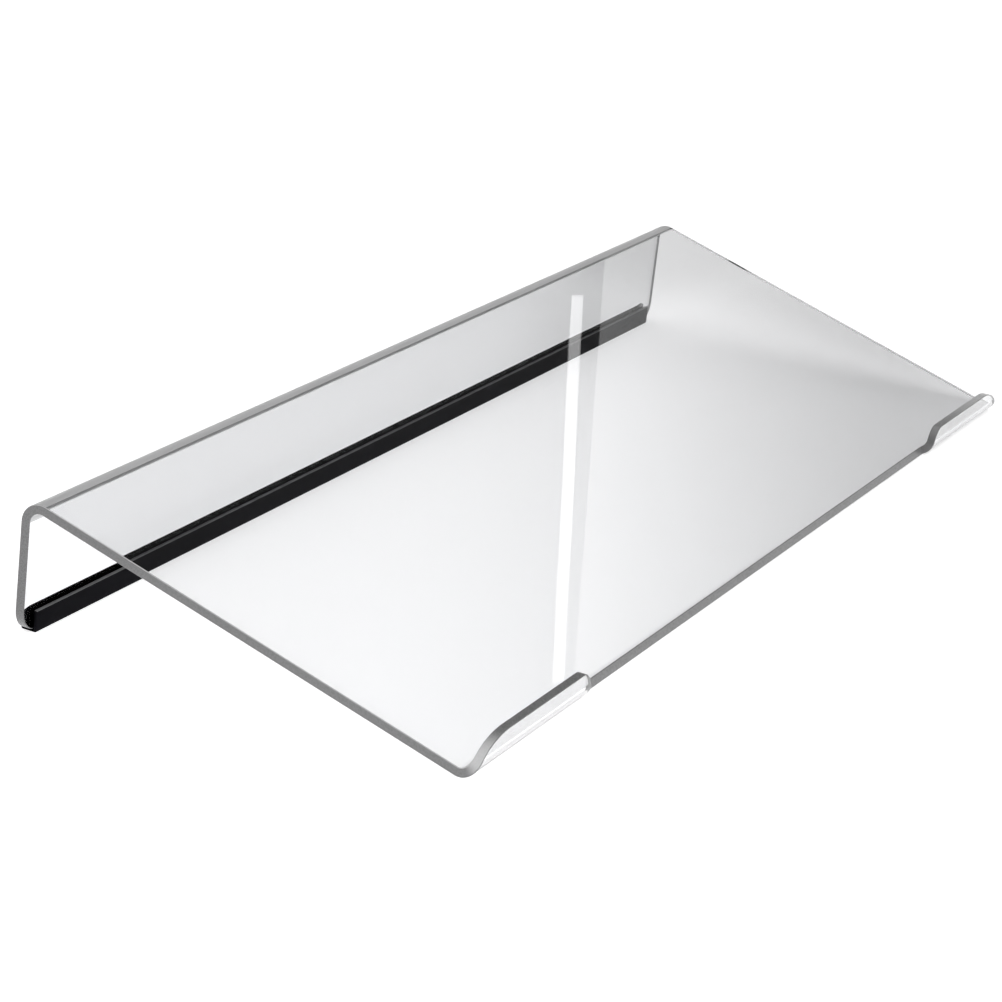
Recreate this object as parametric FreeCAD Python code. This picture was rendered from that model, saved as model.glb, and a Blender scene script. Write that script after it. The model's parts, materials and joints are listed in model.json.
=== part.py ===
import FreeCAD, Part
import math
import os

# Sloping desk stand for a keyboard or laptop: one clear sheet, bent twice, and a soft trim on its rear leg.
# The sheet is a shelf that slopes down to the front, a leg at the rear, and two upturned lips that stop
# things from sliding off the front edge. A U-shaped trim is pushed onto the lower edge of the leg.
#
# Millimetres and degrees. X runs along the width, Y from the lips to the leg, and Z up. The origin is the
# middle of the footprint, on the desk. Profiles are first drawn with Y = 0 below the axis of the front bend.

# The sheet
SHEET_WIDTH = 450.0
SHEET_THICKNESS = 3.0
SHELF_TILT = 15.6
SHELF_RUN = 148.0           # flat part of the shelf, from bend to bend along the slope
REAR_BEND_RADIUS = 3.5      # inside radii, both of them
FRONT_BEND_RADIUS = 2.5
LEG_CORNER = 7.0            # rounding of the two lower corners of the leg

# The lips, cut to shape in the flat sheet before it is bent
LIP_WIDTH = 75.0
LIP_HEIGHT = 10.7           # top of the lips above the desk
LIP_OUTER_CORNER = 19.0     # how far along the lip its corners are rounded off
LIP_INNER_CORNER = 7.0
FRONT_EDGE_TURN = 24.0      # how far up the front bend the shelf's edge between the lips lies

# The trim
TRIM_FRONT_HEIGHT = 7.2
TRIM_REAR_HEIGHT = 8.0
TRIM_WALL = 1.2             # each of the two flanges
TRIM_BASE = 0.7             # between the leg's lower edge and the desk
TRIM_INSET = 5.5            # from each side of the sheet to the end of the trim
TRIM_ROUNDING = 0.5         # outer edges of the base

# Cutting of the lips
OVERLAP = 0.2               # how far a cut reaches past the faces and edges that it opens
CURVE_STEPS = 20
CURVE_END = 85.0            # where a quarter ellipse stops, just past the top of the lip

# Worked out from the above
HALF_WIDTH = SHEET_WIDTH / 2
TILT = math.radians(SHELF_TILT)
SLOPE = FreeCAD.Vector(0, math.cos(TILT), math.sin(TILT))
SHELF_NORMAL = FreeCAD.Vector(0, -math.sin(TILT), math.cos(TILT))
UP = FreeCAD.Vector(0, 0, 1)
REARWARD = FreeCAD.Vector(0, 1, 0)
FRONT_OUTSIDE = FRONT_BEND_RADIUS + SHEET_THICKNESS
REAR_OUTSIDE = REAR_BEND_RADIUS + SHEET_THICKNESS
FRONT_AXIS = UP * FRONT_OUTSIDE
REAR_AXIS = FRONT_AXIS - SHELF_NORMAL * (FRONT_OUTSIDE + REAR_BEND_RADIUS) + SLOPE * SHELF_RUN
LEG_REAR = REAR_AXIS.y + REAR_OUTSIDE
ORIGIN_Y = (LEG_REAR + TRIM_WALL - FRONT_OUTSIDE) / 2

# Lengths along the middle of the sheet, from the top of a lip down and round the front bend
FRONT_MIDDLE = FRONT_BEND_RADIUS + SHEET_THICKNESS / 2
LIP_STRAIGHT = LIP_HEIGHT - FRONT_OUTSIDE
LOWEST_RUN = LIP_STRAIGHT + math.radians(90) * FRONT_MIDDLE
FRONT_EDGE_RUN = LOWEST_RUN - math.radians(FRONT_EDGE_TURN) * FRONT_MIDDLE


def bend(axis, radius, first, middle, last):
    """Arc of a bend about its axis, through three directions from the axis."""
    stops = [axis + direction * (radius / direction.Length) for direction in (first, middle, last)]
    return Part.Arc(*stops).toShape()


def face_curve(front_radius, rear_radius):
    """One face of the sheet as edges, from the top of the lip to the bottom of the leg."""
    lip_side = bend(FRONT_AXIS, front_radius, -REARWARD, -REARWARD - UP, -SHELF_NORMAL)
    leg_side = bend(REAR_AXIS, rear_radius, SHELF_NORMAL, SHELF_NORMAL + REARWARD, REARWARD)
    lip_top = FreeCAD.Vector(0, -front_radius, LIP_HEIGHT)
    leg_bottom = FreeCAD.Vector(0, REAR_AXIS.y + rear_radius, TRIM_BASE)
    lip = Part.LineSegment(lip_top, lip_side.Vertexes[0].Point).toShape()
    shelf = Part.LineSegment(lip_side.Vertexes[-1].Point, leg_side.Vertexes[0].Point).toShape()
    leg = Part.LineSegment(leg_side.Vertexes[-1].Point, leg_bottom).toShape()
    return [lip, lip_side, shelf, leg_side, leg]


def bent_strip():
    """The sheet at its full width, with square corners and one lip along the whole front."""
    top = face_curve(FRONT_BEND_RADIUS, REAR_OUTSIDE)
    under = face_curve(FRONT_OUTSIDE, REAR_BEND_RADIUS)
    lip_cap = Part.LineSegment(top[0].Vertexes[0].Point, under[0].Vertexes[0].Point).toShape()
    leg_cap = Part.LineSegment(top[-1].Vertexes[-1].Point, under[-1].Vertexes[-1].Point).toShape()
    outline = Part.Wire(Part.__sortEdges__(top + under + [lip_cap, leg_cap]))
    section = Part.Face(outline)
    section.translate(FreeCAD.Vector(-HALF_WIDTH, 0, 0))
    return section.extrude(FreeCAD.Vector(SHEET_WIDTH, 0, 0))


def corner_waste(corner_x, corner_z, length, height, front_y, rear_y):
    """What is cut from a square corner to leave a quarter ellipse, with signed length and height."""
    corner = FreeCAD.Vector(corner_x, front_y, corner_z)
    side = corner + UP * height
    top = corner + FreeCAD.Vector(length, 0, 0)
    curve = Part.BezierCurve()
    curve.setPoles([side, corner, top])
    curve.setWeight(2, math.sqrt(0.5))
    edges = [curve.toShape(), Part.makeLine(top, corner), Part.makeLine(corner, side)]
    return Part.Face(Part.Wire(edges)).extrude(REARWARD * (rear_y - front_y))


def on_lip(x, run, depth):
    """Point on the lip or its bend, at a depth in the sheet below the face that is the top of the shelf."""
    radius = FRONT_BEND_RADIUS + depth
    if run < LIP_STRAIGHT:
        return FRONT_AXIS + FreeCAD.Vector(x, -radius, LIP_STRAIGHT - run)
    turn = (run - LIP_STRAIGHT) / FRONT_MIDDLE
    return FRONT_AXIS + FreeCAD.Vector(x, -radius * math.cos(turn), -radius * math.sin(turn))


def cut_wall(foot_x, foot_run, length, height):
    """Wall left by a cut through the sheet along a quarter ellipse, from its foot up past the lip's top."""
    sides = []
    for depth in (-OVERLAP, SHEET_THICKNESS + OVERLAP):
        points = []
        for step in range(CURVE_STEPS + 1):
            angle = math.radians(CURVE_END) * step / CURVE_STEPS
            x = foot_x + length * (1 - math.cos(angle))
            points.append(on_lip(x, foot_run - height * math.sin(angle), depth))
        curve = Part.BSplineCurve()
        curve.interpolate(points)
        sides.append(curve.toShape())
    return Part.makeRuledSurface(*sides)


def outer_waste(side):
    """Waste from the outer corner of the lip on one side, -1 left and +1 right."""
    length = LIP_OUTER_CORNER + OVERLAP
    wall = cut_wall(side * (HALF_WIDTH + OVERLAP), LOWEST_RUN, -side * length, LOWEST_RUN + OVERLAP)
    return wall.extrude(FreeCAD.Vector(side * 2 * length, 0, 0))


def gap_waste(side):
    """Waste between the two lips, from one lip's inner corner to just past the middle of the stand."""
    half_gap = HALF_WIDTH - LIP_WIDTH
    wall = cut_wall(side * half_gap, FRONT_EDGE_RUN, side * LIP_INNER_CORNER, FRONT_EDGE_RUN + OVERLAP)
    return wall.extrude(FreeCAD.Vector(-side * (half_gap + LIP_INNER_CORNER + OVERLAP), 0, 0))


def leg_waste(side):
    """Waste from one lower corner of the leg."""
    front_y = LEG_REAR - SHEET_THICKNESS
    return corner_waste(side * HALF_WIDTH, TRIM_BASE, -side * LEG_CORNER, LEG_CORNER, front_y, LEG_REAR)


def clear_sheet():
    sheet = bent_strip()
    for side in (-1, 1):
        for waste in (outer_waste(side), gap_waste(side), leg_waste(side)):
            sheet = sheet.cut(waste)
    return sheet.removeSplitter()


def edge_trim():
    """Channel with a lower front flange: a block with rounded lower edges, and a slot that the sheet fills."""
    length = SHEET_WIDTH - 2 * TRIM_INSET
    depth = SHEET_THICKNESS + 2 * TRIM_WALL
    corner = FreeCAD.Vector(-length / 2, LEG_REAR + TRIM_WALL - depth, 0)
    block = Part.makeBox(length, depth, TRIM_REAR_HEIGHT, corner)
    lower_edges = [edge for edge in block.Edges if edge.BoundBox.ZMax < TRIM_BASE and edge.Length > depth]
    block = block.makeFillet(TRIM_ROUNDING, lower_edges)
    slot_corner = corner + FreeCAD.Vector(0, TRIM_WALL, TRIM_BASE)
    slot = Part.makeBox(length, SHEET_THICKNESS, TRIM_REAR_HEIGHT, slot_corner)
    above_corner = corner + UP * TRIM_FRONT_HEIGHT
    above_front_flange = Part.makeBox(length, TRIM_WALL, TRIM_REAR_HEIGHT, above_corner)
    return block.cut([slot, above_front_flange])


def write_node(name, shape):
    """Moves a finished piece to the stand's origin and writes it to its own file."""
    shape.translate(FreeCAD.Vector(0, -ORIGIN_Y, 0))
    if not shape.isValid() or len(shape.Solids) != 1:
        raise ValueError(name + " is not one valid solid")
    shape.Solids[0].exportStep("parts/" + name + ".step")
    box = shape.BoundBox
    print(name, round(shape.Volume), "mm3, Y", round(box.YMin, 2), round(box.YMax, 2), "Z", round(box.ZMax, 2))


os.makedirs("parts", exist_ok=True)
write_node("clear_bent_sheet", clear_sheet())
write_node("rear_edge_trim", edge_trim())
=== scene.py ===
import json
import math

import bmesh
import bpy
from mathutils import Matrix, Vector


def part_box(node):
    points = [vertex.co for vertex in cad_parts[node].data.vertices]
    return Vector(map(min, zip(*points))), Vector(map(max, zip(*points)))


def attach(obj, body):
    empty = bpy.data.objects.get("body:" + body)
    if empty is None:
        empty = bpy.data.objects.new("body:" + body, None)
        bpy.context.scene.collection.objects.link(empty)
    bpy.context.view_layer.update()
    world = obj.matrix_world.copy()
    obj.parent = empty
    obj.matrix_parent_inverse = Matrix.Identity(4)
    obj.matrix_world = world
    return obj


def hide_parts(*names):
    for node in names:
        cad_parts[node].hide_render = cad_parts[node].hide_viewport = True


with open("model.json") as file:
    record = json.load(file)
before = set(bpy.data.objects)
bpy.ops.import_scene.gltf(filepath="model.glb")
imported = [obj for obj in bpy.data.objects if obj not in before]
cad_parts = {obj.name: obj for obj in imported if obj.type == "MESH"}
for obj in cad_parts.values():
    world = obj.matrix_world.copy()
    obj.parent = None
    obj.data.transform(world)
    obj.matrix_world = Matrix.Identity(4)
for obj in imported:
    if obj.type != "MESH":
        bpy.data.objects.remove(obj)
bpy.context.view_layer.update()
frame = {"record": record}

# The looks of a sloping desk stand: one bent sheet of clear acrylic, and a black rubber channel on the
# lower edge of its rear leg. The cut edges of the sheet are satin, except the polished right edge of the
# shelf. Metres, with X along the width, Y from the lips to the leg and Z up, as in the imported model.

MM = 0.001

# Sheet
THICKNESS = 3.0 * MM
FRONT_INSIDE = 2.5 * MM         # inside radius of the bend under each lip
REAR_INSIDE = 3.5 * MM          # inside radius of the bend above the leg
LIP_HEIGHT = 10.7 * MM
LIP_WIDTH = 75.0 * MM
LIP_OUTER_CORNER = 19.0 * MM
LIP_INNER_CORNER = 7.0 * MM
FRONT_EDGE_TURN = math.radians(24)      # how far up the front bend the shelf's edge between the lips lies
LEG_CORNER = 7.0 * MM
NOTCH_FILLET = 0.8 * MM         # where a lip's inner end meets the front edge of the shelf
EDGE_BREAK = 0.3 * MM           # rounding of the cut edges
ROW_TOLERANCE = 0.01 * MM       # rows that lie closer than this are the same row
SQUARE_TO_SIDE = 0.99           # an edge whose outward direction has at least this much X faces the side

# Trim
TRIM_WALL = 1.2 * MM
TRIM_BASE = 0.7 * MM
FRONT_FLANGE = 7.2 * MM         # height of the front flange, the lower one
GRIP_GAP = 0.1 * MM             # air between the sheet and the channel
BASE_ROUNDING = 0.5 * MM
RIM_ROUNDING = 0.35 * MM
TRIM_END_BREAK = 0.21 * MM      # rounding of the two cut ends

# Mesh density
BEND_STEPS = 14
CORNER_STEPS = 12
EDGE_BREAK_STEPS = 3
LIP_COLUMNS = 12
GAP_COLUMNS = 30
SHELF_ROWS = 12
LEG_ROWS = 4
FRONT_EDGE_ROWS = 6             # from the shelf's front edge to the lowest line of the front bend
FRONT_BEND_ROWS = 3             # from there to the shelf
TRIM_COLUMNS = 48
ROUNDING_STEPS = 4
SHARP_FROM = math.radians(35)


# ---------------------------------------------------------------- the bent sheet

class BentSheet:
    """Places points of the flat, unfolded sheet on the bent one.

    A point is given by x, by its run along the middle of the sheet from the top of a lip to the foot of
    the leg, and by its depth below the face that is the top of the shelf.
    """

    def __init__(self):
        low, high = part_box("clear_bent_sheet")
        mount = next(m for m in frame["record"]["mounts"] if m["name"] == "shelf_top")
        normal = Vector(mount["axis"])
        self.tilt = math.atan2(-normal.y, normal.z)
        self.half_width = high.x
        self.normal = normal.normalized()
        self.slope = Vector((0, math.cos(self.tilt), math.sin(self.tilt)))
        front_outside = FRONT_INSIDE + THICKNESS
        rear_outside = REAR_INSIDE + THICKNESS
        self.front_axis = Vector((0, low.y + front_outside, low.z + front_outside))
        self.rear_axis = Vector((0, high.y - rear_outside, high.z - rear_outside))
        turn = math.pi / 2 + self.tilt
        self.front_middle = FRONT_INSIDE + THICKNESS / 2
        self.rear_middle = REAR_INSIDE + THICKNESS / 2
        # Where each stretch of the run ends
        self.lip_end = LIP_HEIGHT - front_outside
        self.front_bend_end = self.lip_end + turn * self.front_middle
        self.shelf_end = self.front_bend_end + (self.rear_axis - self.front_axis).dot(self.slope)
        self.rear_bend_end = self.shelf_end + turn * self.rear_middle
        self.leg_end = self.rear_bend_end + self.rear_axis.z - TRIM_BASE
        # The lowest line of the front bend, and the edge of the shelf between the lips
        self.lowest = self.lip_end + math.pi / 2 * self.front_middle
        self.front_edge = self.lowest - FRONT_EDGE_TURN * self.front_middle

    def place(self, x, run, depth):
        """Position, outward normal of the top face, and direction of a growing run."""
        if run < self.lip_end:
            spot = self.front_axis + Vector((0, -FRONT_INSIDE - depth, self.lip_end - run))
            normal, along = Vector((0, 1, 0)), Vector((0, 0, -1))
        elif run < self.front_bend_end:
            turned = (run - self.lip_end) / self.front_middle
            normal = Vector((0, math.cos(turned), math.sin(turned)))
            along = Vector((0, math.sin(turned), -math.cos(turned)))
            spot = self.front_axis - normal * (FRONT_INSIDE + depth)
        elif run < self.shelf_end:
            normal, along = self.normal, self.slope
            spot = self.front_axis - normal * (FRONT_INSIDE + depth) + along * (run - self.front_bend_end)
        elif run < self.rear_bend_end:
            turned = (run - self.shelf_end) / self.rear_middle - self.tilt
            normal = Vector((0, math.sin(turned), math.cos(turned)))
            along = Vector((0, math.cos(turned), -math.sin(turned)))
            spot = self.rear_axis + normal * (REAR_INSIDE + THICKNESS - depth)
        else:
            normal, along = Vector((0, 1, 0)), Vector((0, 0, -1))
            spot = self.rear_axis + normal * (REAR_INSIDE + THICKNESS - depth)
            spot = spot + along * (run - self.rear_bend_end)
        return Vector((x, spot.y, spot.z)), normal, along


def even_steps(start, end, count):
    """The count values that follow start, evenly spaced, the last being end."""
    return [start + (end - start) * i / count for i in range(1, count + 1)]


def corner_inset(share):
    """How far in a quarter ellipse has come, from 0 to 1, at a share of its height."""
    return 1 - math.sqrt(max(0.0, 1 - share * share))


def outer_end(sheet, run):
    """How far from the middle of the stand a row of the sheet reaches, with its rounded corners."""
    risen = (sheet.lowest - run) / (sheet.lowest - EDGE_BREAK)
    dropped = (run - sheet.leg_end + EDGE_BREAK + LEG_CORNER) / LEG_CORNER
    inset = LIP_OUTER_CORNER * corner_inset(max(0.0, risen)) + LEG_CORNER * corner_inset(max(0.0, dropped))
    return sheet.half_width - EDGE_BREAK - inset


def inner_end(sheet, run):
    """How far from the middle of the stand the inner end of a lip lies."""
    foot = sheet.front_edge + EDGE_BREAK
    risen = (foot - run) / (foot - EDGE_BREAK)
    fillet = NOTCH_FILLET * corner_inset(max(0.0, 1 - (foot - run) / NOTCH_FILLET))
    half_gap = sheet.half_width - LIP_WIDTH + EDGE_BREAK
    return half_gap + LIP_INNER_CORNER * corner_inset(max(0.0, risen)) - fillet


def lip_rows(sheet):
    """Rows of x from the left lip's outer end to its inner end, from its top to the shelf's front edge."""
    foot = sheet.front_edge + EDGE_BREAK
    turns = even_steps(math.pi / 2, 0, CORNER_STEPS * 2)
    runs = [EDGE_BREAK] + [foot - (foot - EDGE_BREAK) * math.sin(turn) for turn in turns]
    runs = [run for run in runs if run < sheet.lip_end]
    runs += [sheet.lip_end] + even_steps(sheet.lip_end, foot - NOTCH_FILLET, BEND_STEPS)
    fillet_turns = even_steps(0, math.pi / 2, EDGE_BREAK_STEPS * 2)
    runs += [foot - NOTCH_FILLET * (1 - math.sin(turn)) for turn in fillet_turns]
    rows = []
    for run in runs:
        left, right = -outer_end(sheet, run), -inner_end(sheet, run)
        rows.append((run, [left] + even_steps(left, right, LIP_COLUMNS)))
    return rows


def full_rows(sheet):
    """Rows across the whole width, from the shelf's front edge to the foot of the leg."""
    foot = sheet.leg_end - EDGE_BREAK
    corner_start = foot - LEG_CORNER
    runs = [sheet.front_edge + EDGE_BREAK]
    runs += even_steps(sheet.front_edge + EDGE_BREAK, sheet.lowest, FRONT_EDGE_ROWS)
    runs += even_steps(sheet.lowest, sheet.front_bend_end, FRONT_BEND_ROWS)
    runs += even_steps(sheet.front_bend_end, sheet.shelf_end, SHELF_ROWS)
    runs += even_steps(sheet.shelf_end, sheet.rear_bend_end, BEND_STEPS * 2)
    runs += even_steps(sheet.rear_bend_end, corner_start, LEG_ROWS)
    runs += [corner_start + LEG_CORNER * math.sin(turn) for turn in even_steps(0, math.pi / 2, CORNER_STEPS)]
    lip = -inner_end(sheet, runs[0])
    rows = []
    for run in runs:
        end = -outer_end(sheet, run)
        left = [end] + even_steps(end, lip, LIP_COLUMNS)
        middle = even_steps(lip, -lip, GAP_COLUMNS)[:-1]
        rows.append((run, left + middle + [-x for x in reversed(left)]))
    return rows


def mirrored(rows):
    """The left lip's rows as the right lip's."""
    return [(run, [-x for x in reversed(xs)]) for run, xs in rows]


def rim_of(left_lip, right_lip, shelf):
    """The vertices round the edge of a face, in order, from the left end of the leg's foot."""
    last = len(shelf[0]) - 1
    rim = list(shelf[-1])
    rim += [row[last] for row in reversed(shelf[:-1])]
    rim += [row[-1] for row in reversed(right_lip[:-1])]
    rim += list(reversed(right_lip[0][:-1]))
    rim += [row[0] for row in right_lip[1:-1]]
    rim += list(reversed(shelf[0][LIP_COLUMNS:last - LIP_COLUMNS + 1]))
    rim += [row[-1] for row in reversed(left_lip[:-1])]
    rim += list(reversed(left_lip[0][:-1]))
    rim += [row[0] for row in left_lip[1:-1]]
    rim += [row[0] for row in shelf[:-1]]
    return rim


CLEAR, EDGE, SHADED_BEND, POLISHED = 0, 1, 2, 3


class SheetMesh:
    """Collects the vertices, normals, flat coordinates and faces of the bent sheet."""

    def __init__(self, sheet):
        self.sheet = sheet
        self.spots = []
        self.normals = []
        self.flat = []
        self.faces = []
        self.materials = []

    def vertex(self, x, run, depth, outward=None, turn=0.0):
        """Adds a vertex. turn is how far its normal has turned from the face to the cut edge."""
        spot, normal, along = self.sheet.place(x, run, depth)
        if depth > THICKNESS / 2:
            normal = -normal
        if outward is not None:
            sideways = Vector((outward.x, 0, 0)) + along * outward.y
            normal = normal * math.cos(turn) + sideways * math.sin(turn)
        self.spots.append(spot)
        self.normals.append(normal.normalized())
        self.flat.append(Vector((x, run)))
        return len(self.spots) - 1

    def face(self, corners, material):
        self.faces.append(corners)
        self.materials.append(material)

    def rows(self, rows, depth):
        return [[self.vertex(x, run, depth) for x in xs] for run, xs in rows]

    def quads(self, rows, runs):
        """Faces between rows of vertices, hazy and grey with painted shade on the rear bend, and clear
        elsewhere.
        """
        for upper, lower, run in zip(rows, rows[1:], runs):
            bent = self.sheet.shelf_end <= run + ROW_TOLERANCE < self.sheet.rear_bend_end
            material = SHADED_BEND if bent else CLEAR
            for i in range(len(upper) - 1):
                self.face([upper[i], upper[i + 1], lower[i + 1], lower[i]], material)

    def side(self, depth):
        """One face of the sheet. Returns its rim."""
        lips = lip_rows(self.sheet)
        shelf = full_rows(self.sheet)
        shelf_vertices = self.rows(shelf, depth)
        left = self.rows(lips[:-1], depth) + [shelf_vertices[0][:LIP_COLUMNS + 1]]
        right = self.rows(mirrored(lips[:-1]), depth) + [shelf_vertices[0][-LIP_COLUMNS - 1:]]
        self.quads(shelf_vertices, [run for run, _ in shelf])
        self.quads(left, [run for run, _ in lips])
        self.quads(right, [run for run, _ in lips])
        return rim_of(left, right, shelf_vertices)

    def cut_edge(self, top_rim, under_rim):
        """The cut edge all round, with both of its corners rounded off."""
        count = len(top_rim)
        outwards = []
        for i in range(count):
            step = self.flat[top_rim[(i + 1) % count]] - self.flat[top_rim[i - 1]]
            outwards.append(Vector((-step.y, step.x)).normalized())
        rings = [top_rim]
        turns = even_steps(0, math.pi / 2, EDGE_BREAK_STEPS)
        sections = [(EDGE_BREAK * math.sin(turn), EDGE_BREAK * (1 - math.cos(turn)), turn) for turn in turns]
        sections += [(out, THICKNESS - depth, turn) for out, depth, turn in reversed(sections)]
        for out, depth, turn in sections:
            ring = []
            for start, outward in zip(top_rim, outwards):
                flat = self.flat[start] + outward * out
                ring.append(self.vertex(flat.x, flat.y, depth, outward, turn))
            rings.append(ring)
        rings.append(under_rim)
        finishes = [self.edge_finish(self.flat[start], outward) for start, outward in zip(top_rim, outwards)]
        for ring, following in zip(rings, rings[1:]):
            for i in range(count):
                j = (i + 1) % count
                self.face([ring[i], ring[j], following[j], following[i]], finishes[i])

    def edge_finish(self, flat, outward):
        """Satin all round, except the right edge of the shelf, which is polished."""
        on_shelf = self.sheet.lowest < flat.y < self.sheet.shelf_end
        return POLISHED if on_shelf and flat.x > 0 and outward.x > SQUARE_TO_SIDE else EDGE


def make_sheet():
    """The bent sheet as one closed mesh, with its flat coordinates as UVs and exact normals."""
    build = SheetMesh(BentSheet())
    top_rim = build.side(0.0)
    under_rim = build.side(THICKNESS)
    build.cut_edge(top_rim, under_rim)
    mesh = bpy.data.meshes.new("bent_acrylic_sheet")
    mesh.from_pydata(build.spots, [], build.faces)
    work = bmesh.new()
    work.from_mesh(mesh)
    work.faces.ensure_lookup_table()
    for face, material in zip(work.faces, build.materials):
        face.material_index = material
        face.smooth = True
    bmesh.ops.recalc_face_normals(work, faces=work.faces)
    work.to_mesh(mesh)
    work.free()
    layer = mesh.uv_layers.new(name="flat")
    for loop in mesh.loops:
        layer.data[loop.index].uv = build.flat[loop.vertex_index]
    mesh.normals_split_custom_set_from_vertices([tuple(normal) for normal in build.normals])
    piece = bpy.data.objects.new("bent_acrylic_sheet", mesh)
    bpy.context.scene.collection.objects.link(piece)
    return piece


# ---------------------------------------------------------------- the trim

# The rubber, and its painted highlight along the front flange's upper edge
RUBBER, RIM_HIGHLIGHT = 0, 1
RIM_CORNER = 6                  # place in the outline of the slot's corner of the front flange's upper edge


def rounded_outline(corners):
    """Closed outline of (y, z, radius) corners with their rounding as arcs."""
    outline = []
    count = len(corners)
    for i, (y, z, radius) in enumerate(corners):
        corner = Vector((y, z))
        before = (Vector(corners[i - 1][:2]) - corner).normalized()
        after = (Vector(corners[(i + 1) % count][:2]) - corner).normalized()
        centre = corner + (before + after) * radius
        for step in range(ROUNDING_STEPS + 1):
            angle = math.pi / 2 * step / ROUNDING_STEPS
            outline.append(centre - after * radius * math.cos(angle) - before * radius * math.sin(angle))
    return outline


def trim_outline(shrink):
    """Section of the channel in Y and Z, drawn in by shrink on every side."""
    low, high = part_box("rear_edge_trim")
    leg_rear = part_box("clear_bent_sheet")[1].y
    front, rear = low.y + shrink, high.y - shrink
    bottom, top = low.z + shrink, high.z - shrink
    front_top = low.z + FRONT_FLANGE - shrink
    slot_front = leg_rear - THICKNESS - GRIP_GAP - shrink
    slot_rear = leg_rear + GRIP_GAP + shrink
    slot_bottom = low.z + TRIM_BASE - GRIP_GAP - shrink
    base, rim = BASE_ROUNDING - shrink, RIM_ROUNDING - shrink
    return rounded_outline([
        (front, bottom, base), (rear, bottom, base), (rear, top, rim), (slot_rear, top, rim),
        (slot_rear, slot_bottom, rim), (slot_front, slot_bottom, rim), (slot_front, front_top, rim),
        (front, front_top, rim)])


def make_trim():
    """The channel as one closed mesh: its section drawn along X, with slightly rounded ends."""
    low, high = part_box("rear_edge_trim")
    # Each station is a place in x and how far the section is drawn in there
    partway = TRIM_END_BREAK * 0.3
    stations = [(low.x, TRIM_END_BREAK), (low.x + partway, partway), (low.x + TRIM_END_BREAK, 0.0)]
    stations += [(x, 0.0) for x in even_steps(low.x + TRIM_END_BREAK, high.x - TRIM_END_BREAK, TRIM_COLUMNS)]
    stations += [(high.x - partway, partway), (high.x, TRIM_END_BREAK)]
    work = bmesh.new()
    rings = []
    for x, shrink in stations:
        rings.append([work.verts.new((x, y, z)) for y, z in trim_outline(shrink)])
    first_rim_point = RIM_CORNER * (ROUNDING_STEPS + 1)
    for ring, following in zip(rings, rings[1:]):
        for i in range(len(ring)):
            j = (i + 1) % len(ring)
            face = work.faces.new((ring[i], ring[j], following[j], following[i]))
            # The front flange's upper edge takes the rubber with the painted highlight
            face.material_index = RIM_HIGHLIGHT if first_rim_point <= i < len(ring) - 1 else RUBBER
    for ring in (rings[0], rings[-1]):
        cap = work.faces.new(ring)
        bmesh.ops.triangulate(work, faces=[cap])
    bmesh.ops.recalc_face_normals(work, faces=work.faces)
    mesh = bpy.data.meshes.new("rubber_edge_channel")
    work.to_mesh(mesh)
    work.free()
    mesh.shade_smooth()
    mesh.set_sharp_from_angle(angle=SHARP_FROM)
    piece = bpy.data.objects.new("rubber_edge_channel", mesh)
    bpy.context.scene.collection.objects.link(piece)
    return piece


# ---------------------------------------------------------------- materials

# The middle of what a noise texture gives, which is spread over the range that a material needs
NOISE_SPAN = (0.3, 0.7)
# Places of a colour mix node's sockets, whose names are shared with its other kinds
MIX_FIRST, MIX_SECOND, MIX_RESULT = 6, 7, 2

ACRYLIC_IOR = 1.49
CLEAR_TINT = (0.875, 0.878, 0.885)
# Painted shade: the tint that the clear faces grey to at the rear right of the shelf and on the lips
SHADE_TINT = (0.70, 0.702, 0.707)
LIP_SHADE_SPAN = (-0.078, -0.072)            # in Y, where the painted shade greys the lips
REAR_RIGHT_SHADE = (0.8, 0.6, 0)              # direction in which the painted shade greys the shelf
REAR_RIGHT_SHADE_SPAN = (0.10, 0.19)
REAR_RIGHT_SHADE_SHARE = 0.8
WETTED_IOR = 1.05
WETTED_TOP = (0.0090, 0.0096)           # in Z
WETTED_FRONT = (0.060, 0.065)           # in Y, before the leg
WETTED_RIGHT = (0.212, 0.215)           # in X, before the trim's right end

EDGE_DARK = (0.17, 0.17, 0.172)
EDGE_GREY = (0.21, 0.21, 0.212)
# The painted highlight on the cut edges: its colour, and where it lies
EDGE_HIGHLIGHT = (0.62, 0.62, 0.625)
LEFT_HIGHLIGHT_SPAN = (-0.20, -0.17)            # in X, where the painted highlight on the left lip's corner lies
LEFT_HIGHLIGHT_SLANT = (-0.5, -0.12)              # the normal's X times its Z, from a full slant to none, over which the painted highlight fades
RIGHT_HIGHLIGHT_SPAN = (0.15, 0.21)                # in X, where the painted highlight along the right lip's top rises
RIGHT_HIGHLIGHT_SHARE = 0.75
HIGHLIGHT_FACING_UP = (0.6, 0.95)                 # the normal's Z, over which the painted highlight on the right lip's top rises

FLOOR_DARK = (0.84, 0.84, 0.845)
FLOOR_LIGHT = (0.86, 0.86, 0.865)
# The floor's glow is painted light: an even glow, a pool under the stand that fades to its front right and
# drops behind the leg as painted shade, and more glow before the lips
GLOW_UNDER = 0.86
GLOW_AROUND = 0.45
GLOW_BEFORE = 0.35                      # added in front of the lips
FRONT_RIGHT = (0.421, -0.907, 0)        # direction in which the glow under the stand fades
GLOW_FADING = (-0.065, 0.140)
LEG_SPAN = (0.065, 0.10)                # in Y, where the glow drops behind the leg
BEHIND_SHARE = 0.3
LIP_SPAN = (-0.080, -0.072)             # in Y, where it rises in front of the lips


def new_material(name):
    """A material, its node tree, and the output node that the tree is emptied down to."""
    material = bpy.data.materials.new(name)
    material.use_nodes = True
    tree = material.node_tree
    tree.nodes.clear()
    output = tree.nodes.new("ShaderNodeOutputMaterial")
    return material, tree, output


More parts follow.
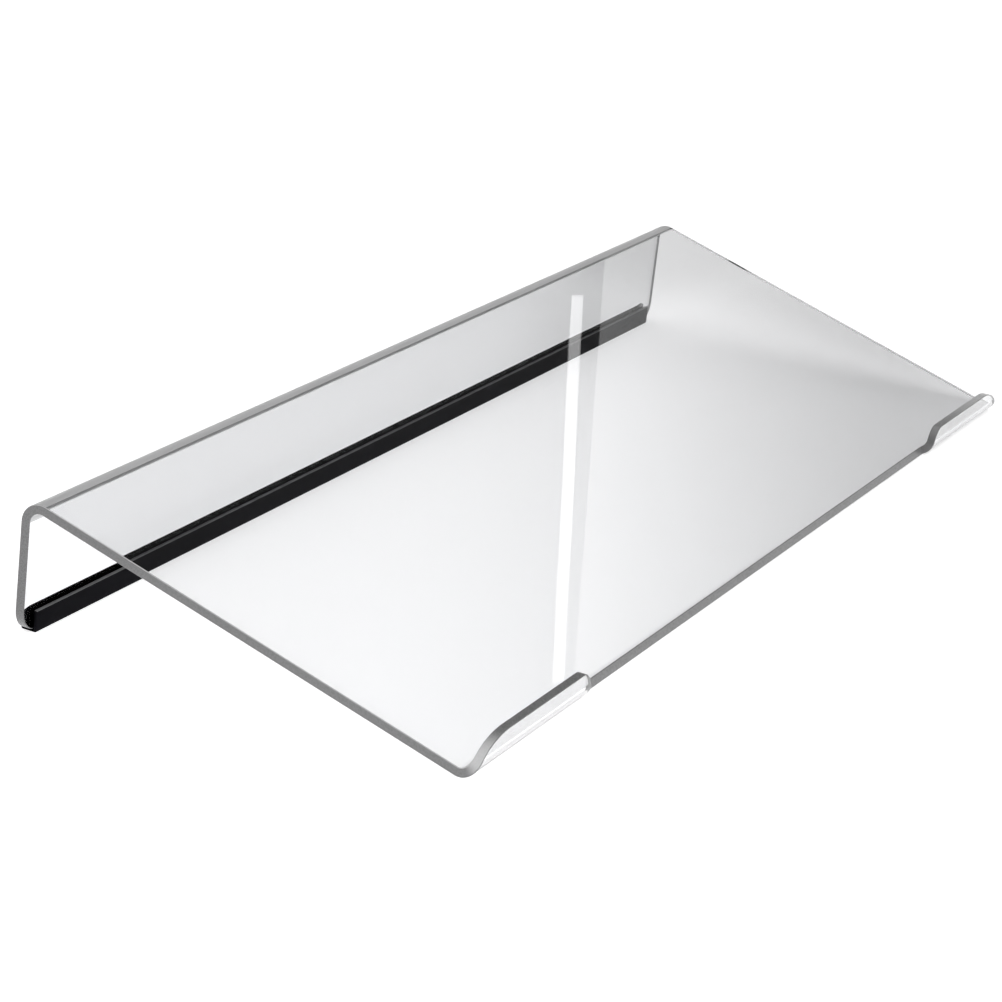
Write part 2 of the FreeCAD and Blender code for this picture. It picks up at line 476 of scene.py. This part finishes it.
def add(tree, kind, settings=None, **inputs):
    """A node with its properties and the default values of its inputs set."""
    node = tree.nodes.new(kind)
    for key, value in (settings or {}).items():
        setattr(node, key, value)
    for key, value in inputs.items():
        node.inputs[key.replace("_", " ")].default_value = value
    return node


def ramp(tree, source, span, first, last):
    """A value that goes from first to last while source crosses the span."""
    node = add(tree, "ShaderNodeMapRange")
    for key, value in (("From Min", span[0]), ("From Max", span[1]), ("To Min", first), ("To Max", last)):
        node.inputs[key].default_value = value
    tree.links.new(source, node.inputs["Value"])
    return node.outputs["Result"]


def soft_ramp(tree, source, span, first, last):
    """The same, easing in and out."""
    result = ramp(tree, source, span, first, last)
    result.node.interpolation_type = "SMOOTHSTEP"
    return result


def combined(tree, operation, first, second):
    """Two values joined by a maths node."""
    node = add(tree, "ShaderNodeMath", {"operation": operation})
    tree.links.new(first, node.inputs[0])
    tree.links.new(second, node.inputs[1])
    return node.outputs["Value"]


def product(tree, first, second):
    return combined(tree, "MULTIPLY", first, second)


def larger(tree, first, second):
    return combined(tree, "MAXIMUM", first, second)


def parts(tree, vector):
    """The X, Y and Z outputs of a vector."""
    node = add(tree, "ShaderNodeSeparateXYZ")
    tree.links.new(vector, node.inputs["Vector"])
    return node.outputs["X"], node.outputs["Y"], node.outputs["Z"]


def distance_along(tree, place, direction):
    """How far a place lies along a direction."""
    node = add(tree, "ShaderNodeVectorMath", {"operation": "DOT_PRODUCT"})
    node.inputs[1].default_value = direction
    tree.links.new(place, node.inputs[0])
    return node.outputs["Value"]


def noise(tree, place, scale, detail):
    node = add(tree, "ShaderNodeTexNoise", Scale=scale, Detail=detail)
    tree.links.new(place, node.inputs["Vector"])
    return node.outputs["Fac"]


def bump(tree, shader, height, strength, distance):
    """Bends a shader's normal by a height."""
    node = add(tree, "ShaderNodeBump", Strength=strength, Distance=distance)
    tree.links.new(height, node.inputs["Height"])
    tree.links.new(node.outputs["Normal"], shader.inputs["Normal"])


def blend(tree, source, first, second):
    """A colour that goes from first to second while source goes from 0 to 1."""
    node = add(tree, "ShaderNodeValToRGB")
    node.color_ramp.elements[0].color = (*first, 1)
    node.color_ramp.elements[1].color = (*second, 1)
    tree.links.new(source, node.inputs["Fac"])
    return node.outputs["Color"]


def clear_acrylic():
    """Polished faces: clear, with a formed sheet's waviness, and greyer at the rear right and on the lips as
    painted shade.
    """
    material, tree, output = new_material("clear_acrylic_face")
    place = add(tree, "ShaderNodeTexCoord").outputs["Object"]
    x, y, z = parts(tree, place)
    shader = add(tree, "ShaderNodeBsdfPrincipled", IOR=ACRYLIC_IOR, Transmission_Weight=1.0, Roughness=0.0)
    # Painted shade: the tint greys towards the rear right of the shelf and on the lips
    rearward = distance_along(tree, place, REAR_RIGHT_SHADE)
    rear_right_shade = soft_ramp(tree, rearward, REAR_RIGHT_SHADE_SPAN, 0.0, REAR_RIGHT_SHADE_SHARE)
    lip_shade = soft_ramp(tree, y, LIP_SHADE_SPAN, 1.0, 0.0)
    tint_and_shade = blend(tree, larger(tree, rear_right_shade, lip_shade), CLEAR_TINT, SHADE_TINT)
    tree.links.new(tint_and_shade, shader.inputs["Base Color"])
    # The strip of the leg at the trim hardly mirrors or bends light, as if the rubber had wetted it
    above_trim = ramp(tree, z, WETTED_TOP, WETTED_IOR, ACRYLIC_IOR)
    before_leg = ramp(tree, y, WETTED_FRONT, ACRYLIC_IOR, WETTED_IOR)
    right_end = ramp(tree, x, WETTED_RIGHT, WETTED_IOR, ACRYLIC_IOR)
    beside_trim = larger(tree, before_leg, right_end)
    tree.links.new(larger(tree, above_trim, beside_trim), shader.inputs["IOR"])
    bump(tree, shader, noise(tree, place, 9.0, 1.0), 0.04, 0.0006)
    tree.links.new(shader.outputs["BSDF"], output.inputs["Surface"])
    return material


def cut_edge():
    """Satin cut edges: grey, with the fine marks of the cutter.

    They carry a painted highlight, a lighter colour, on the left lip's outer corner, where the edge turns up
    from facing left, and along the top of the right lip, where it faces up.
    """
    material, tree, output = new_material("satin_cut_edge")
    place = add(tree, "ShaderNodeTexCoord").outputs["Object"]
    x, _, _ = parts(tree, place)
    normal_x, _, normal_z = parts(tree, add(tree, "ShaderNodeNewGeometry").outputs["Normal"])
    shader = add(tree, "ShaderNodeBsdfPrincipled", IOR=ACRYLIC_IOR)
    grey = blend(tree, noise(tree, place, 30.0, 3.0), EDGE_DARK, EDGE_GREY)
    # Painted highlight: lighter where the left corner slants up and where the right lip's top faces up
    slant_highlight = soft_ramp(tree, product(tree, normal_x, normal_z), LEFT_HIGHLIGHT_SLANT, 1.0, 0.0)
    left_corner_highlight = product(tree, slant_highlight, soft_ramp(tree, x, LEFT_HIGHLIGHT_SPAN, 1.0, 0.0))
    right_lip = soft_ramp(tree, x, RIGHT_HIGHLIGHT_SPAN, 0.0, RIGHT_HIGHLIGHT_SHARE)
    right_top_highlight = product(tree, soft_ramp(tree, normal_z, HIGHLIGHT_FACING_UP, 0.0, 1.0), right_lip)
    tone_and_highlight = add(tree, "ShaderNodeMix", {"data_type": "RGBA"})
    tree.links.new(larger(tree, left_corner_highlight, right_top_highlight), tone_and_highlight.inputs["Factor"])
    tree.links.new(grey, tone_and_highlight.inputs[MIX_FIRST])
    tone_and_highlight.inputs[MIX_SECOND].default_value = (*EDGE_HIGHLIGHT, 1)
    tree.links.new(tone_and_highlight.outputs[MIX_RESULT], shader.inputs["Base Color"])
    marks = noise(tree, place, 2500.0, 2.0)
    tree.links.new(ramp(tree, marks, NOISE_SPAN, 0.22, 0.34), shader.inputs["Roughness"])
    bump(tree, shader, marks, 0.05, 0.00005)
    tree.links.new(shader.outputs["BSDF"], output.inputs["Surface"])
    return material


def hazy_plastic(name, tint_and_shade, transmission, haze_scale, least_rough, most_rough):
    """Plastic with a patchy haze, which lets through the share of light that transmission gives."""
    material, tree, output = new_material(name)
    place = add(tree, "ShaderNodeTexCoord").outputs["Object"]
    shader = add(tree, "ShaderNodeBsdfPrincipled", Base_Color=(*tint_and_shade, 1), IOR=ACRYLIC_IOR,
                 Transmission_Weight=transmission)
    haze = noise(tree, place, haze_scale, 2.0)
    tree.links.new(ramp(tree, haze, NOISE_SPAN, least_rough, most_rough), shader.inputs["Roughness"])
    tree.links.new(shader.outputs["BSDF"], output.inputs["Surface"])
    return material


def polished_edge():
    """The polished part of the cut edge: clear, with a slight haze."""
    return hazy_plastic("polished_cut_edge", (0.86, 0.86, 0.865), 1.0, 200.0, 0.02, 0.12)


def hazy_bend_with_painted_shade():
    """The rear bend, which the heat of forming has left a little hazy, and whose grey is painted shade."""
    # Painted shade: the grey tint stands for the darkness of light bent through the rear bend
    return hazy_plastic("hazy_bend_with_painted_shade", (0.66, 0.66, 0.665), 0.3, 60.0, 0.3, 0.4)


def black_rubber(name, dark, light, specular):
    """Soft black rubber: matt, faintly mottled, with a fine grain."""
    material, tree, output = new_material(name)
    place = add(tree, "ShaderNodeTexCoord").outputs["Object"]
    shader = add(tree, "ShaderNodeBsdfPrincipled", IOR=1.5, Specular_IOR_Level=specular)
    colour = blend(tree, noise(tree, place, 45.0, 4.0), dark, light)
    tree.links.new(colour, shader.inputs["Base Color"])
    grain = noise(tree, place, 3500.0, 2.0)
    tree.links.new(ramp(tree, grain, NOISE_SPAN, 0.42, 0.6), shader.inputs["Roughness"])
    bump(tree, shader, grain, 0.3, 0.00004)
    tree.links.new(shader.outputs["BSDF"], output.inputs["Surface"])
    return material


def rubber_skin():
    return black_rubber("black_rubber_grain", (0.006, 0.006, 0.0075), (0.010, 0.010, 0.0125), 0.01)


def rubber_rim_highlight():
    """The front flange's upper edge, where the rubber is a little shinier, with a grey painted highlight."""
    return black_rubber("rubber_rim_painted_highlight", (0.15, 0.15, 0.152), (0.20, 0.20, 0.203), 0.3)


def painted_glow_floor():
    """Plain pale floor with a painted glow: a pool of painted light under the stand, fading to its front
    right and dropping behind the leg, and more before the lips.
    """
    material, tree, output = new_material("pale_floor_painted_glow")
    place = add(tree, "ShaderNodeTexCoord").outputs["Object"]
    _, y, _ = parts(tree, place)
    paint = add(tree, "ShaderNodeBsdfDiffuse", Roughness=0.5)
    colour = blend(tree, noise(tree, place, 1.5, 2.0), FLOOR_DARK, FLOOR_LIGHT)
    tree.links.new(colour, paint.inputs["Color"])
    rightward = distance_along(tree, place, FRONT_RIGHT)
    fading = soft_ramp(tree, rightward, GLOW_FADING, GLOW_UNDER - GLOW_AROUND, 0.0)
    under = product(tree, fading, soft_ramp(tree, y, LEG_SPAN, 1.0, BEHIND_SHARE))
    around = soft_ramp(tree, y, LIP_SPAN, GLOW_AROUND + GLOW_BEFORE, GLOW_AROUND)
    glow = add(tree, "ShaderNodeEmission")
    tree.links.new(combined(tree, "ADD", under, around), glow.inputs["Strength"])
    both = add(tree, "ShaderNodeAddShader")
    tree.links.new(paint.outputs["BSDF"], both.inputs[0])
    tree.links.new(glow.outputs["Emission"], both.inputs[1])
    tree.links.new(both.outputs["Shader"], output.inputs["Surface"])
    material.cycles.emission_sampling = "NONE"
    return material


# ---------------------------------------------------------------- studio

# The camera stands front left of the stand, a little above it, and is turned about its line of sight
CAMERA_AZIMUTH = math.radians(-65.11)
CAMERA_ELEVATION = math.radians(19.79)
CAMERA_ROLL = math.radians(6.78)
CAMERA_DISTANCE = 1.1212
CAMERA_AIM = Vector((-0.0167, 0.0200, 0.0013))
CAMERA_CLIP = 0.05
CAMERA_LENS = 116.0             # lens and sensor in millimetres
SENSOR = 36.0

FLOOR_HALF = 12.0

# World, by the height of a direction: a sky overhead, dark below it, and a pale backdrop at the horizon
SKY_SPAN = (0.66, 0.78)
HORIZON_SPAN = (0.10, 0.20)
SKY_RADIANCE = 1.55
DARK_RADIANCE = 0.03
BACKDROP_RADIANCE = 1.02

# Lamps
WATTS_PER_RADIANCE = 4                  # for each square metre of an area lamp
LIT_POINT = Vector((-0.2, 0, 0.02))
STRIP_TOP = Vector((1.2, 0.1118, 0.8262))
STRIP_BOTTOM = Vector((1.2, 0.2912, 0.5847))
STRIP_WIDTH = 0.009
STRIP_RADIANCE = 0.95
STRIP_SHIFT = 0.003
ACROSS_STRIP = Vector((0, -0.80, -0.60))
VEIL_EDGE = Vector((1.2, 0.1953, 0.6719))
VEIL_LENGTH = 0.9
VEIL_WIDTH = 0.22
VEIL_RADIANCE = 0.36


def make_camera():
    """The camera, and the scene's choice of it."""
    cos_az, sin_az = math.cos(CAMERA_AZIMUTH), math.sin(CAMERA_AZIMUTH)
    back = Vector((sin_az * math.cos(CAMERA_ELEVATION), -cos_az * math.cos(CAMERA_ELEVATION),
                   math.sin(CAMERA_ELEVATION)))
    level = Vector((cos_az, sin_az, 0))
    upright = back.cross(level)
    right = level * math.cos(CAMERA_ROLL) + upright * math.sin(CAMERA_ROLL)
    up = upright * math.cos(CAMERA_ROLL) - level * math.sin(CAMERA_ROLL)
    data = bpy.data.cameras.new("camera")
    data.lens = CAMERA_LENS
    data.sensor_width = SENSOR
    data.clip_start = CAMERA_CLIP
    camera = bpy.data.objects.new("camera", data)
    bpy.context.scene.collection.objects.link(camera)
    turned = Matrix((right, up, back)).transposed().to_4x4()
    camera.matrix_world = Matrix.Translation(CAMERA_AIM + back * CAMERA_DISTANCE) @ turned
    bpy.context.scene.camera = camera


def make_floor():
    mesh = bpy.data.meshes.new("floor")
    corners = [(-FLOOR_HALF, -FLOOR_HALF, 0), (FLOOR_HALF, -FLOOR_HALF, 0),
               (FLOOR_HALF, FLOOR_HALF, 0), (-FLOOR_HALF, FLOOR_HALF, 0)]
    mesh.from_pydata(corners, [], [(0, 1, 2, 3)])
    mesh.materials.append(painted_glow_floor())
    floor = bpy.data.objects.new("floor", mesh)
    bpy.context.scene.collection.objects.link(floor)


def panel(name, centre, along, towards, length, width, radiance):
    """A flat lamp, unseen by the camera, with its length laid along a direction, that faces a point."""
    data = bpy.data.lights.new(name, "AREA")
    data.shape = "RECTANGLE"
    data.size = length
    data.size_y = width
    data.energy = radiance * WATTS_PER_RADIANCE * length * width
    lamp = bpy.data.objects.new(name, data)
    bpy.context.scene.collection.objects.link(lamp)
    back = (centre - towards).normalized()
    first = (along - back * along.dot(back)).normalized()
    turned = Matrix((first, back.cross(first), back)).transposed().to_4x4()
    lamp.matrix_world = Matrix.Translation(centre) @ turned
    lamp.visible_camera = False
    return lamp


def fade_across(lamp):
    """Makes a lamp fade out evenly across its width."""
    lamp.data.use_nodes = True
    tree = lamp.data.node_tree
    place = add(tree, "ShaderNodeNewGeometry")
    split = add(tree, "ShaderNodeSeparateXYZ")
    tree.links.new(place.outputs["Parametric"], split.inputs["Vector"])
    emission = next(node for node in tree.nodes if node.type == "EMISSION")
    tree.links.new(ramp(tree, split.outputs["Y"], (0, 1), 1.0, 0.0), emission.inputs["Strength"])


def make_lights():
    """Two panels beyond the right end, which the shelf mirrors as a bright streak and a veil beside it."""
    downward = STRIP_TOP - STRIP_BOTTOM
    strip_centre = (STRIP_TOP + STRIP_BOTTOM) / 2 - ACROSS_STRIP * STRIP_SHIFT
    panel("strip", strip_centre, downward, LIT_POINT, downward.length, STRIP_WIDTH, STRIP_RADIANCE)
    veil_centre = VEIL_EDGE + ACROSS_STRIP * VEIL_WIDTH / 2
    fade_across(panel("veil", veil_centre, downward, LIT_POINT, VEIL_LENGTH, VEIL_WIDTH, VEIL_RADIANCE))


def make_world():
    """A soft sky light overhead, dark surroundings above a pale horizon, and a pale backdrop."""
    world = bpy.data.worlds.new("studio")
    world.use_nodes = True
    world.cycles.sampling_method = "NONE"
    bpy.context.scene.world = world
    tree = world.node_tree
    tree.nodes.clear()
    output = tree.nodes.new("ShaderNodeOutputWorld")
    direction = add(tree, "ShaderNodeTexCoord")
    split = add(tree, "ShaderNodeSeparateXYZ")
    tree.links.new(direction.outputs["Generated"], split.inputs["Vector"])
    overhead = ramp(tree, split.outputs["Z"], SKY_SPAN, DARK_RADIANCE, SKY_RADIANCE)
    horizon = ramp(tree, split.outputs["Z"], HORIZON_SPAN, BACKDROP_RADIANCE, DARK_RADIANCE)
    around = add(tree, "ShaderNodeBackground", Color=(1, 1, 1, 1))
    tree.links.new(larger(tree, overhead, horizon), around.inputs["Strength"])
    backdrop = add(tree, "ShaderNodeBackground", Color=(1, 1, 1, 1), Strength=BACKDROP_RADIANCE)
    path = add(tree, "ShaderNodeLightPath")
    mix = add(tree, "ShaderNodeMixShader")
    tree.links.new(path.outputs["Is Camera Ray"], mix.inputs["Fac"])
    tree.links.new(around.outputs["Background"], mix.inputs[1])
    tree.links.new(backdrop.outputs["Background"], mix.inputs[2])
    tree.links.new(mix.outputs["Shader"], output.inputs["Surface"])


# ---------------------------------------------------------------- the model

bpy.context.scene.view_settings.view_transform = "Standard"

sheet_piece = make_sheet()
for finish in (clear_acrylic(), cut_edge(), hazy_bend_with_painted_shade(), polished_edge()):
    sheet_piece.data.materials.append(finish)
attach(sheet_piece, "root")
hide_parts("clear_bent_sheet")

trim_piece = make_trim()
for finish in (rubber_skin(), rubber_rim_highlight()):
    trim_piece.data.materials.append(finish)
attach(trim_piece, "root")
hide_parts("rear_edge_trim")

make_floor()
make_lights()
make_world()
make_camera()
